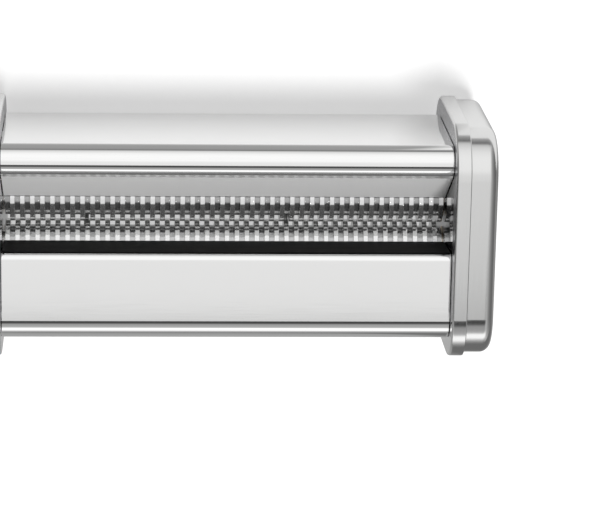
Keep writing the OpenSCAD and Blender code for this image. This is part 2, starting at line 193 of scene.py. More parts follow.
class Finishes(bpy.types.PropertyGroup):
    """Colours of the finishes."""

    polished: colour("Polished steel", "Cover sheets, combs and crank arm", (0.87, 0.87, 0.865))
    satin: colour("Satin steel", "End caps, stays, tie rods and the crank's turned pieces",
                  (0.72, 0.72, 0.715))
    guide: colour("Guide wall", "Rear guide wall of the feed slot", (0.93, 0.93, 0.925))
    ground: colour("Ground steel", "Rings and shaft of the rear roller", (0.76, 0.76, 0.76))
    # Groove floors darker than the rings: painted shade in the grooves
    groove: colour("Groove floors", "Floors of the rear roller's grooves", (0.42, 0.42, 0.42))
    # Lighter copies of the rear roller's steels for the front roller: painted light on the nearer
    # roller
    bright_ring: colour("Front rings", "Rings and shaft of the front roller", (0.88, 0.88, 0.875))
    bright_groove: colour("Front groove floors", "Floors of the front roller's grooves",
                          (0.6, 0.6, 0.6))
    # Darker steel at the top of the guide wall: painted shade under the bend
    strip: colour("Strip", "Strip at the top of the guide wall", (0.5, 0.5, 0.5))
    # Near-black inner side of the front sheet: painted shade inside the slot
    inside: colour("Inner side", "Inner side of the front sheet", (0.004, 0.004, 0.004))
    # Side plates much darker than the cover sheets: painted shade between caps and rollers
    plate: colour("Side plates", "Side plates", (0.3, 0.3, 0.3))
    # On the bands' inner faces this is painted shade in the slit beside the cover sheets
    dark: colour("Machined steel", "Gears, screws, retaining rings and the bands' inner faces",
                 (0.35, 0.35, 0.36))
    bronze: colour("Bronze", "Bearing bushes", (0.60, 0.42, 0.20))
    grip: colour("Grip", "Turned wooden grip", (0.30, 0.13, 0.05))
    floor: colour("Floor", "Pale table top", (0.6, 0.6, 0.6))


class CrankSizes(bpy.types.PropertyGroup):
    """Sizes of the hand crank."""

    hub_edge: length("Hub edge", "Edge radius of the hub", 1.0 * MM)
    hub_line: length("Hub line", "Place of the turned line from the hub's inner end", 4.0 * MM)
    hub_line_depth: length("Hub line depth", "Depth of the turned line", 0.4 * MM)
    hub_line_floor: length("Hub line floor", "Width of the turned line's floor", 0.6 * MM)
    arm_edge: length("Arm edge", "Edge radius of the arm", 0.7 * MM)
    arm_flat: length("Arm end flat", "Half of the flat left at the arm's round ends", 0.05 * MM)
    pin: length("Pin", "Diameter of the pin that the grip turns on", 6.0 * MM)
    rivet_rim: length("Rivet rim", "How far the rivet heads reach past the pin", 1.5 * MM)
    rivet_edge: length("Rivet edge", "Edge radius of the rivet heads", 0.6 * MM)
    waist: FloatProperty(name="Waist", description="Share of the grip's radius left at its ends",
                         default=0.78, min=0.0, max=1.0, subtype="FACTOR")
    grip_play: length("Grip play", "Clearance round the pin in the grip's bore", 0.05 * MM)
    grip_edge: length("Grip edge", "Edge radius of the grip's ends", 2.0 * MM)
    cap_edge: length("Pin cap edge", "Edge radius of the pin's cap", 1.2 * MM)
    bead: length("Bead", "Depth of the turned lines on the grip", 0.35 * MM)


class StageSizes(bpy.types.PropertyGroup):
    """Places and strengths of the camera, the key light and the floor."""

    camera_at: FloatVectorProperty(name="Camera place", description="Place from the slot's middle",
                                   default=(-0.03319, 0.24393, 0.94956), size=3, unit="LENGTH")
    camera_turn: FloatVectorProperty(name="Camera turn", description="Turn of the camera",
                                     default=tuple(math.radians(a) for a in CAMERA_DEGREES),
                                     size=3, subtype="EULER")
    lens: FloatProperty(name="Lens", description="Focal length", default=178.6, min=1.0,
                        unit="CAMERA")
    floor_glow: FloatProperty(name="Floor glow", description="Light of the floor's own as seen",
                              default=0.5, min=0.0)
    key_turn: FloatVectorProperty(name="Key light turn", description="Turn of the key light",
                                  default=(math.radians(8), math.radians(6), 0.0),
                                  size=3, subtype="EULER")
    key_strength: FloatProperty(name="Key light", description="Strength of the key light",
                                default=2.7, min=0.0)
    key_spread: angle("Key light spread", "How wide the key light looks from the unit", 15)
    floor_radius: length("Floor radius", "Radius of the pale floor", 1.6)


# Node helpers


def new_material(name):
    """An empty node material with a Principled shader."""
    made = bpy.data.materials.new(name)
    made.use_nodes = True
    return made, made.node_tree, made.node_tree.nodes["Principled BSDF"]


def feed(tree, socket, value):
    """Sets a socket to a constant, or links another node's output to it."""
    if isinstance(value, bpy.types.NodeSocket):
        tree.links.new(value, socket)
    else:
        socket.default_value = value


def math_node(tree, operation, *values):
    """Output of a maths node on constants and other nodes' outputs."""
    node = tree.nodes.new("ShaderNodeMath")
    node.operation = operation
    for socket, value in zip(node.inputs, values):
        feed(tree, socket, value)
    return node.outputs[0]


def mix_node(tree, kind, factor, low, high):
    """Output of a mix of two numbers (FLOAT) or colours (RGBA)."""
    node = tree.nodes.new("ShaderNodeMix")
    node.data_type = kind
    for name, value in (("Factor", factor), ("A", low), ("B", high)):
        feed(tree, node.inputs[name], value)
    return node.outputs["Result"]


def range_node(tree, source, start, end, low=0.0, high=1.0, smooth=False):
    """Maps a number from start..end to low..high, and stops at both."""
    node = tree.nodes.new("ShaderNodeMapRange")
    if smooth:
        node.interpolation_type = "SMOOTHSTEP"
    feed(tree, node.inputs["Value"], source)
    node.inputs["From Min"].default_value = start
    node.inputs["From Max"].default_value = end
    node.inputs["To Min"].default_value = low
    node.inputs["To Max"].default_value = high
    return node.outputs["Result"]


def banded(tree, source, bands, reach):
    """A grey ramp over -reach..reach through the bands' tones."""
    ramp = tree.nodes.new("ShaderNodeValToRGB")
    ramp.color_ramp.elements[0].position = 0.0
    ramp.color_ramp.elements[1].position = 1.0
    while len(ramp.color_ramp.elements) < len(bands):
        ramp.color_ramp.elements.new(0.5)
    for element, (place, tone) in zip(ramp.color_ramp.elements, bands):
        element.position = (place / reach + 1) / 2
        element.color = (tone, tone, tone, 1)
    feed(tree, ramp.inputs["Fac"], range_node(tree, source, -reach, reach))
    return ramp.outputs["Color"]


def split_place(tree, kind):
    """X, Y and Z outputs of a texture coordinate."""
    coords = tree.nodes.new("ShaderNodeTexCoord")
    split = tree.nodes.new("ShaderNodeSeparateXYZ")
    tree.links.new(coords.outputs[kind], split.inputs[0])
    return split.outputs


def grain(tree, scale, detail=2.0):
    """Noise on Object coordinates, stretched by scale along X, Y and Z."""
    coords = tree.nodes.new("ShaderNodeTexCoord")
    mapping = tree.nodes.new("ShaderNodeMapping")
    mapping.inputs["Scale"].default_value = scale
    noise = tree.nodes.new("ShaderNodeTexNoise")
    noise.inputs["Scale"].default_value = 1.0
    noise.inputs["Detail"].default_value = detail
    tree.links.new(coords.outputs["Object"], mapping.inputs["Vector"])
    tree.links.new(mapping.outputs["Vector"], noise.inputs["Vector"])
    return noise.outputs["Fac"]


def dress(tree, shader, noise, tint, shades, roughness, bump, depth):
    """Lets the noise vary a shader's colour and roughness, and raise its surface."""
    dark, light = ((*[min(1, c * shade) for c in tint], 1) for shade in shades)
    feed(tree, shader.inputs["Base Color"], mix_node(tree, "RGBA", noise, dark, light))
    feed(tree, shader.inputs["Roughness"], range_node(tree, noise, *NOISE_MIDDLE, *roughness))
    bumper = tree.nodes.new("ShaderNodeBump")
    bumper.inputs["Strength"].default_value = bump
    bumper.inputs["Distance"].default_value = depth
    tree.links.new(noise, bumper.inputs["Height"])
    tree.links.new(bumper.outputs["Normal"], shader.inputs["Normal"])


# Finishes

# The range in which most of a noise's values lie
NOISE_MIDDLE = (0.3, 0.7)
# Shader name, tint, roughness and its spread, brushing along X, Y and Z (finest across the
# lines), bump, share of metal, shine of the rest
METALS = {
    "polished_steel": ("sheet steel", "polished", 0.06, 0.02, (60, 4000, 4000), 0.01, 1.0, 0.5),
    "satin_steel": ("cap steel", "satin", 0.13, 0.03, (9000, 60, 60), 0.01, 1.0, 0.5),
    "roller_steel": ("ring steel", "ground", 0.1, 0.03, (12000, 100, 100), 0.01, 0.9, 0.5),
    # Groove floors darker than the rings: painted shade in the grooves
    "groove_steel": ("groove steel", "groove", 0.2, 0.05, (12000, 100, 100), 0.03, 0.9, 0.5),
    # Lighter copies of the ring and groove steel for the front roller: painted light
    "bright_ring_steel": ("bright ring steel", "bright_ring", 0.1, 0.03, (12000, 100, 100), 0.01,
                          0.85, 0.5),
    "bright_groove_steel": ("bright groove steel", "bright_groove", 0.2, 0.05,
                            (12000, 100, 100), 0.03, 0.85, 0.5),
    # Darker band of the sheet under the guide wall's bend: painted shade
    "strip_steel": ("strip steel", "strip", 0.1, 0.02, (60, 4000, 4000), 0.01, 0.6, 0.5),
    "guide_steel": ("guide steel", "guide", 0.42, 0.04, (60, 9000, 9000), 0.03, 0.2, 0.5),
    # Dark side plates: painted shade between caps and rollers
    "plate_steel": ("plate steel", "plate", 0.06, 0.02, (4000, 60, 4000), 0.01, 1.0, 0.5),
    # Near-black inner side of the front sheet: painted shade inside the slot
    "inner_steel": ("inner steel", "inside", 0.5, 0.05, (60, 6000, 6000), 0.03, 0.0, 0.05),
    # Also painted shade on the bands' inner faces, in the slit beside the cover sheets
    "gear_steel": ("machined steel", "dark", 0.32, 0.06, (6000, 600, 600), 0.2, 1.0, 0.5),
    "bronze": ("bush bronze", "bronze", 0.3, 0.05, (5000, 300, 300), 0.15, 1.0, 0.5),
}
METAL_SHADES = (0.97, 1.03)
BRUSH_DEPTH = 0.02 * MM
WOOD_SHADES = (0.55, 1.5)
GRAIN_DEPTH = 0.2 * MM
# Materials made so far, by finish
MADE = {}


def brushed_metal(name, tint, rough, spread, scale, bump, metallic, shine):
    """Metal with fine brushed lines."""
    made, tree, shader = new_material(name)
    shader.inputs["Metallic"].default_value = metallic
    shader.inputs["Specular IOR Level"].default_value = shine
    dress(tree, shader, grain(tree, scale), tint, METAL_SHADES,
          (rough - spread, rough + spread), bump, BRUSH_DEPTH)
    return made


def wood(name, tint):
    """Varnished wood with the grain along X."""
    made, tree, shader = new_material(name)
    shader.inputs["Coat Weight"].default_value = 0.5
    shader.inputs["Coat Roughness"].default_value = 0.12
    dress(tree, shader, grain(tree, (40, 900, 900), 6.0), tint, WOOD_SHADES, (0.28, 0.42),
          0.15, GRAIN_DEPTH)
    return made


def finish(name):
    """The named finish, made on first use."""
    if name not in MADE:
        tints = bpy.context.scene.noodle_finishes
        if name == "grip_wood":
            MADE[name] = wood("grip wood", tints.grip)
        elif name in METALS:
            label, tint, *look = METALS[name]
            MADE[name] = brushed_metal(label, getattr(tints, tint), *look)
        else:
            raise ValueError("no finish is named " + name)
    return MADE[name]


# Mesh helpers


def new_piece(bm, name, body, slot, replaced, sharp=35.0):
    """Turns a bmesh into a smooth-shaded piece that rides on a body and replaces nodes."""
    mesh = bpy.data.meshes.new(name)
    bm.to_mesh(mesh)
    bm.free()
    mesh.polygons.foreach_set("use_smooth", [True] * len(mesh.polygons))
    mesh.set_sharp_from_angle(angle=math.radians(sharp))
    piece = bpy.data.objects.new(name, mesh)
    bpy.context.scene.collection.objects.link(piece)
    mesh.materials.append(finish(slot))
    weighted = piece.modifiers.new("Weighted normals", "WEIGHTED_NORMAL")
    weighted.keep_sharp = True
    weighted.weight = 100
    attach(piece, body)
    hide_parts(*replaced)
    return piece


def refinish(piece, slot, inside):
    """Gives a second finish to the faces that lie wholly inside a region."""
    piece.data.materials.append(finish(slot))
    for face in piece.data.polygons:
        if all(inside(piece.data.vertices[v].co) for v in face.vertices):
            face.material_index = len(piece.data.materials) - 1


class Pen:
    """Draws an open outline by extruding and spinning its last vertex."""

    def __init__(self, bm, x, y, z):
        self.bm = bm
        self.last = bm.verts.new((x, y, z))

    def line(self, x, y, z):
        """A straight line to x, y, z."""
        made = bmesh.ops.extrude_vert_indiv(self.bm, verts=[self.last])
        self.last = made["verts"][0]
        self.last.co = (x, y, z)

    def arc(self, y, z, angle, steps=12):
        """An arc across X, round y and z."""
        made = bmesh.ops.spin(self.bm, geom=[self.last], cent=(self.last.co.x, y, z), axis=X_AXIS,
                              angle=angle, steps=steps)
        self.last = [v for v in made["geom_last"] if isinstance(v, bmesh.types.BMVert)][0]


def bent_sheet(bm, width, thickness, outward):
    """Sweeps the drawn outline along X and makes it solid: its drawn side stays outside."""
    made = bmesh.ops.extrude_edge_only(bm, edges=bm.edges[:])
    moved = [g for g in made["geom"] if isinstance(g, bmesh.types.BMVert)]
    bmesh.ops.translate(bm, verts=moved, vec=(width, 0, 0))
    bmesh.ops.recalc_face_normals(bm, faces=bm.faces)
    face = max(bm.faces, key=lambda f: f.calc_area() * abs(f.normal.dot(outward)))
    if face.normal.dot(outward) < 0:
        bmesh.ops.reverse_faces(bm, faces=bm.faces)
    bmesh.ops.solidify(bm, geom=bm.faces[:], thickness=thickness)
    bmesh.ops.remove_doubles(bm, verts=bm.verts, dist=TINY)
    bmesh.ops.recalc_face_normals(bm, faces=bm.faces)


def rounded_face(bm, low, high, corner, x, segments=14):
    """A rectangle with round corners across X."""
    made = bmesh.ops.create_grid(bm, x_segments=1, y_segments=1, size=0.5)
    verts = made["verts"]
    size = Matrix.Diagonal((high.y - low.y, high.z - low.z, 1.0)).to_4x4()
    turn = Matrix(((0, 0, 1, 0), (1, 0, 0, 0), (0, 1, 0, 0), (0, 0, 0, 1)))
    place = Matrix.Translation((x, (low.y + high.y) / 2, (low.z + high.z) / 2))
    bmesh.ops.transform(bm, matrix=place @ turn @ size, verts=verts)
    bmesh.ops.bevel(bm, geom=verts, offset=corner, offset_type="OFFSET", segments=segments,
                    profile=0.5, affect="VERTICES", material=-1)
    return bm.faces[:]


def pull(bm, faces, vector):
    """Extrudes faces along a vector."""
    made = bmesh.ops.extrude_face_region(bm, geom=faces)
    verts = [g for g in made["geom"] if isinstance(g, bmesh.types.BMVert)]
    bmesh.ops.translate(bm, verts=verts, vec=vector)


def rim_edges(bm, x):
    """Edges at x between an end face and a side face."""
    found = []
    for edge in bm.edges:
        if any(abs(v.co.x - x) > TINY for v in edge.verts):
            continue
        ends = [abs(f.normal.x) > END_FACE for f in edge.link_faces]
        if len(ends) == 2 and ends[0] != ends[1]:
            found.append(edge)
    return found


def outline_edges(bm, x, top):
    """Rim edges at x that belong to the outer outline of a ring as high as top."""
    middle = Vector((0, 0, top / 2))

    def outer(face):
        """Whether a wall faces away from the middle, not into a hole."""
        way = face.calc_center_median() - middle
        return abs(face.normal.x) < END_FACE and face.normal.dot(way) > 0

    return [edge for edge in rim_edges(bm, x) if any(outer(f) for f in edge.link_faces)]


def drilled(bm, bores):
    """Cuts the bores out of a bmesh."""
    objects = []
    for source in (bm, bores):
        mesh = bpy.data.meshes.new("drilling")
        source.to_mesh(mesh)
        objects.append(bpy.data.objects.new("drilling", mesh))
        bpy.context.scene.collection.objects.link(objects[-1])
    bores.free()
    cut = objects[0].modifiers.new("Bores", "BOOLEAN")
    cut.object, cut.operation, cut.solver = objects[1], "DIFFERENCE", "EXACT"
    result = objects[0].evaluated_get(bpy.context.evaluated_depsgraph_get())
    bm.clear()
    bm.from_mesh(result.to_mesh())
    result.to_mesh_clear()
    for done in objects:
        mesh = done.data
        bpy.data.objects.remove(done)
        bpy.data.meshes.remove(mesh)


def mirrored(bm):
    """Mirrors a bmesh about the middle of the slot."""
    flip = Matrix.Translation((2 * MIDDLE_X, 0, 0)) @ Matrix.Scale(-1, 4, X_AXIS)
    bmesh.ops.transform(bm, verts=bm.verts, matrix=flip)
    bmesh.ops.recalc_face_normals(bm, faces=bm.faces)


def rounded(x, r, edge, way, outwards, steps=5):
    """Points of a turned piece's rounded edge at x; way is the side on which the piece lies."""
    points = []
    for i in range(steps + 1):
        a = math.pi / 2 * i / steps
        points.append((x + way * edge * (1 - math.sin(a)), r - edge * (1 - math.cos(a))))
    return points[::-1] if outwards else points


def lathe(points, y, z, steps=64):
    """Spins a list of (x, radius) points round the X axis through y, z."""
    bm = bmesh.new()
    pen = Pen(bm, points[0][0], y, z + points[0][1])
    for x, r in points[1:]:
        pen.line(x, y, z + r)
    bmesh.ops.spin(bm, geom=bm.verts[:] + bm.edges[:], cent=(0, y, z), axis=X_AXIS,
                   angle=math.tau, steps=steps, use_merge=True)
    bmesh.ops.remove_doubles(bm, verts=bm.verts, dist=2 * TINY)
    bmesh.ops.recalc_face_normals(bm, faces=bm.faces)
    return bm


# Operators

# Steps along the grip's outline, and the one from each end that holds its line
GRIP_STEPS, GRIP_LINE = 40, 5


class NOODLE_OT_stage(bpy.types.Operator):
    """Pale floor, banded studio sky, key light and camera"""

    bl_idname = "noodle.stage"
    bl_label = "Stage"

    def execute(self, context):
        sizes = context.scene.noodle_stage
        self.floor(context, sizes)
        self.sky(context)
        self.key_light(context, sizes)
        self.camera(context, sizes)
        context.scene.view_settings.view_transform = "Standard"
        return {"FINISHED"}

    def floor(self, context, sizes):
        """A round floor that also carries the painted reflection tones that metal sees in it."""
        bm = bmesh.new()
        bmesh.ops.create_circle(bm, cap_ends=True, segments=96, radius=sizes.floor_radius)
        mesh = bpy.data.meshes.new("floor")
        bm.to_mesh(mesh)
        bm.free()
        ground = bpy.data.objects.new("floor", mesh)
        context.scene.collection.objects.link(ground)
        mesh.materials.append(self.floor_finish(context.scene.noodle_finishes.floor, sizes))

    def floor_finish(self, tint, sizes):
        """Pale paint that glows when looked at, and shows metal a painted reflection: its own
        banded tones, which glow too.
        """
        made, tree, shader = new_material("floor")
        tree.nodes.remove(shader)
        place = split_place(tree, "Object")
        # Tone by place that only glossy rays see: painted reflection on the metal
        tone = mix_node(tree, "FLOAT",
                        range_node(tree, place["X"], FLOOR_END_FROM, FLOOR_END_FULL),
                        banded(tree, place["Y"], FLOOR_REFLECTION_BANDS, FLOOR_REACH),
                        banded(tree, place["Y"], FLOOR_END_REFLECTION_BANDS, FLOOR_REACH))
        rays = tree.nodes.new("ShaderNodeLightPath").outputs
        paint = tree.nodes.new("ShaderNodeBsdfDiffuse")
        feed(tree, paint.inputs["Color"],
             mix_node(tree, "RGBA", rays["Is Glossy Ray"], (*tint, 1), tone))
        looked_at = math_node(tree, "MAXIMUM", rays["Is Camera Ray"], rays["Is Transmission Ray"])
        shown = math_node(tree, "MULTIPLY_ADD", rays["Is Glossy Ray"], tone, looked_at)
        glow = tree.nodes.new("ShaderNodeEmission")
        feed(tree, glow.inputs["Strength"], math_node(tree, "MULTIPLY", shown, sizes.floor_glow))
        both = tree.nodes.new("ShaderNodeAddShader")
        tree.links.new(paint.outputs[0], both.inputs[0])
        tree.links.new(glow.outputs[0], both.inputs[1])
        tree.links.new(both.outputs[0], tree.nodes["Material Output"].inputs["Surface"])
        return made

    def sky(self, context):
        """A banded studio round the rollers' axis, plain white where it is looked at."""
        world = bpy.data.worlds.new("studio")
        context.scene.world = world
        world.use_nodes = True
        tree = world.node_tree
        tree.nodes.clear()
        way = split_place(tree, "Generated")
        forwards = math_node(tree, "MULTIPLY", way["Y"], -1.0)
        turn = math_node(tree, "ARCTAN2", forwards, way["Z"])
        sideways = math_node(tree, "ABSOLUTE", way["X"])
        tone = mix_node(tree, "RGBA",
                        range_node(tree, sideways, SKY_ENDS_FROM, SKY_ENDS_FULL, smooth=True),
                        banded(tree, turn, [(math.radians(a), t) for a, t in SKY_BANDS], math.pi),
                        banded(tree, sideways, SKY_ENDS, 1.0))
        rays = tree.nodes.new("ShaderNodeLightPath").outputs
        back = tree.nodes.new("ShaderNodeBackground")
        feed(tree, back.inputs["Color"],
             mix_node(tree, "RGBA", rays["Is Camera Ray"], tone, (1, 1, 1, 1)))
        feed(tree, back.inputs["Strength"],
             range_node(tree, rays["Is Diffuse Ray"], 0.0, 1.0, 1.0, SKY_ON_MATT))
        out = tree.nodes.new("ShaderNodeOutputWorld")
        tree.links.new(back.outputs[0], out.inputs["Surface"])

    def key_light(self, context, sizes):
        """A soft, weak sun."""
        data = bpy.data.lights.new("key light", "SUN")
        key = bpy.data.objects.new("key light", data)
        context.scene.collection.objects.link(key)
        key.rotation_euler = sizes.key_turn
        data.energy = sizes.key_strength
        data.angle = sizes.key_spread
        key.visible_glossy = False

    def camera(self, context, sizes):
        """The camera, placed from the middle of the frame."""
        data = bpy.data.cameras.new("camera")
        camera = bpy.data.objects.new("camera", data)
        context.scene.collection.objects.link(camera)
        camera.location = Vector(sizes.camera_at) + Vector((MIDDLE_X, 0, 0))
        camera.rotation_euler = sizes.camera_turn
        data.sensor_width = SENSOR_WIDTH
        data.lens = sizes.lens
        data.clip_start = NEAREST_SEEN
        context.scene.camera = camera


class NOODLE_OT_finishes(bpy.types.Operator):
    """Finishes for the pieces that keep the frame's own shape"""

    bl_idname = "noodle.finishes"
    bl_label = "Frame finishes"

    def execute(self, context):
        slots = {entry["node"]: entry["material_slot"] for entry in frame["record"]["subparts"]}
        # The side plates take a dark steel instead of their slot's: painted shade between the caps
        # and the rollers
        for side in ("left", "right"):
            slots[side + "_side_plate"] = "plate_steel"
        for name, node in frame["nodes"].items():
            node.data.materials.clear()
            node.data.materials.append(finish(slots[name]))
        return {"FINISHED"}


class NOODLE_OT_covers(bpy.types.Operator):
    """Rear and front covers, each bent from one sheet"""

    bl_idname = "noodle.covers"
    bl_label = "Cover sheets"

    def execute(self, context):
        sizes = context.scene.noodle_sheets
        start = MIDDLE_X - HALF_W + sizes.end_slit
        width = 2 * (HALF_W - sizes.end_slit)
        foot_z = AXIS_Z + RING_R + sizes.guide_gap
        self.rear(sizes, start, width, foot_z)
        self.front(sizes, start, width, foot_z)
        return {"FINISHED"}

    def rear(self, sizes, x, width, foot_z):
        """Flange, skirt, corner, top, bend, strip of painted shade and guide wall."""
        y, low, top = REAR_HIGH.y, REAR_LOW.z, REAR_HIGH.z
        r, hr, slope = sizes.rear_corner, sizes.hopper_r, sizes.hopper_slope
        along, down = math.cos(slope), math.sin(slope)
        if sizes.hopper_y > y - r:
            raise RuntimeError("the rear cover's top has no room between its bends")
        bm = bmesh.new()
        pen = Pen(bm, x, y - sizes.flange, low)
        pen.line(x, y, low)
        pen.line(x, y, top - r)
        pen.arc(y - r, top - r, math.pi / 2)
        pen.line(x, sizes.hopper_y, top)
        pen.arc(sizes.hopper_y, top - hr, slope)
        pen.line(x, pen.last.co.y - sizes.strip * along, pen.last.co.z - sizes.strip * down)
        drop = pen.last.co.z - foot_z
        pen.line(x, pen.last.co.y - drop / math.tan(slope), foot_z)
        bent_sheet(bm, width, sizes.thickness, Vector((0, 1, 0)))
        piece = new_piece(bm, "rear_cover_sheet", "frame", "polished_steel", ["rear_cover"])
        # The sheet just past the top bend takes a darker steel, painted shade under the bend; the
        # guide wall below takes its own dull steel
        shade_strip_y = sizes.hopper_y - hr * math.sin(slope - sizes.shade_strip_bend) + TINY
        guide_y = sizes.hopper_y - hr * down - sizes.strip * along + TINY
        refinish(piece, "strip_steel", lambda co: co.y < shade_strip_y)
        refinish(piece, "guide_steel", lambda co: co.y < guide_y)

    def front(self, sizes, x, width, foot_z):
        """Flange, front side, corner, top panel, lip and guide wall."""
        y, low, top = FRONT_LOW.y, FRONT_LOW.z, FRONT_HIGH.z
        r, lip, lean = sizes.front_corner, sizes.lip_r, sizes.front_lean
        lip_y = -sizes.lip_y - lip
        if lip_y < y + r:
            raise RuntimeError("the front cover's top has no room between its bends")
        bm = bmesh.new()
        pen = Pen(bm, x, y + sizes.flange, low)
        pen.line(x, y, low)
        pen.line(x, y, top - r)
        pen.arc(y + r, top - r, -math.pi / 2)
        pen.line(x, lip_y, top)
        pen.arc(lip_y, top - lip, -math.pi / 2 - lean, steps=14)
        drop = pen.last.co.z - foot_z
        pen.line(x, pen.last.co.y - drop * math.tan(lean), foot_z)
        bent_sheet(bm, width, sizes.thickness, Vector((0, -1, 0)))
        piece = new_piece(bm, "front_cover_sheet", "frame", "polished_steel", ["front_cover"])
        # The front sheet's inner side below the lip's bend takes a near-black steel: painted shade
        # inside the slot
        inner_shade_z = top - lip + lip * math.sin(sizes.inner_shade_reach) + TINY
        refinish(piece, "inner_steel", lambda co: co.z < inner_shade_z and co.y > y / 2)


class NOODLE_OT_bands(bpy.types.Operator):
    """Inner band of each end cap, open in the middle"""

    bl_idname = "noodle.bands"
    bl_label = "Cap bands"

    def execute(self, context):
        sizes = context.scene.noodle_caps
        self.band(sizes, "right", False)
        self.band(sizes, "left", True)
        return {"FINISHED"}

    def band(self, sizes, side, flip):
        """One strip round a side plate, with its corners bent."""
        bm = bmesh.new()
        rounded_face(bm, BAND_LOW, BAND_HIGH, sizes.corner, BAND_LOW.x)
        rounded_face(bm, PLATE_LOW, PLATE_HIGH, sizes.inner_corner, BAND_LOW.x)
        rims = bm.edges[:]
        bmesh.ops.delete(bm, geom=bm.faces[:], context="FACES_ONLY")
        ring = bmesh.ops.bridge_loops(bm, edges=rims)["faces"]
        pull(bm, ring, (BAND_HIGH.x - BAND_LOW.x, 0, 0))
        bmesh.ops.recalc_face_normals(bm, faces=bm.faces)
        for x, edge in ((BAND_LOW.x, sizes.band_edge), (BAND_HIGH.x, sizes.seam_edge)):
            bmesh.ops.bevel(bm, geom=outline_edges(bm, x, BAND_HIGH.z), offset=edge, segments=4,
                            profile=0.5, affect="EDGES", material=-1)
        if flip:
            mirrored(bm)
        piece = new_piece(bm, side + "_band", "frame", "satin_steel", [side + "_cap_band"])
        # The band's inner faces at the rear and top take the dark machined steel: painted shade in
        # the slit beside the cover sheets
        refinish(piece, "gear_steel", lambda co: abs(abs(co.x - MIDDLE_X) - HALF_W) < TINY
                 and (co.y > 0 or co.z > PLATE_HIGH.z - TINY))


class NOODLE_OT_cap_covers(bpy.types.Operator):
    """Hollow outer cover of each end cap, stepped in from its band"""

    bl_idname = "noodle.cap_covers"
    bl_label = "Cap covers"

    def execute(self, context):
        sizes = context.scene.noodle_caps
        self.cover(sizes, "right", False)
        self.cover(sizes, "left", True)
        return {"FINISHED"}

    def cover(self, sizes, side, flip):
        """A closed shell, drilled for the screws and, at the left, for the crank's bush."""
        start, run = BAND_HIGH.x, CAP_HIGH.x - BAND_HIGH.x
        bm = bmesh.new()
        faces = rounded_face(bm, CAP_LOW, CAP_HIGH, sizes.corner - sizes.step, start)
        pull(bm, faces, (run, 0, 0))
        bmesh.ops.recalc_face_normals(bm, faces=bm.faces)
        bmesh.ops.bevel(bm, geom=rim_edges(bm, CAP_HIGH.x), offset=sizes.cover_edge, segments=10,
                        profile=0.5, affect="EDGES", material=-1)
        mouth = [f for f in bm.faces if f.normal.x < -END_FACE]
        bmesh.ops.inset_region(bm, faces=mouth, thickness=sizes.wall)
        mouth = max((f for f in bm.faces if f.normal.x < -END_FACE), key=lambda f: f.calc_area())
        pull(bm, [mouth], (run - sizes.wall, 0, 0))
        bmesh.ops.delete(bm, geom=[mouth], context="FACES_ONLY")
        bmesh.ops.recalc_face_normals(bm, faces=bm.faces)
        drills = [(y, z, sizes.head / 2, sizes.head_depth)
                  for y, z in self.screw_places(sizes, side)]
        if flip:
            drills.append((-AXIS_Y, AXIS_Z, sizes.bush / 2, 2 * sizes.wall))
        bores = bmesh.new()
        for y, z, r, depth in drills:
            place = Matrix.Translation((CAP_HIGH.x, y, z)) @ Matrix.Rotation(math.pi / 2, 4, "Y")
            bmesh.ops.create_cone(bores, cap_ends=True, segments=48, depth=2 * depth,
                                  matrix=place, radius1=r, radius2=r)
        if flip:
            mirrored(bm)
            mirrored(bores)
        drilled(bm, bores)
        new_piece(bm, side + "_cover", "frame", "satin_steel", [side + "_cap_cover"])

    def screw_places(self, sizes, side):
        """Screw axes, read off the screws' own corners."""
        low, high = corners(side + "_cap_screws")
        r = sizes.screw_head / 2
        return [(y, z) for y in (low.y + r, high.y - r) for z in (low.z + r, high.z - r)]


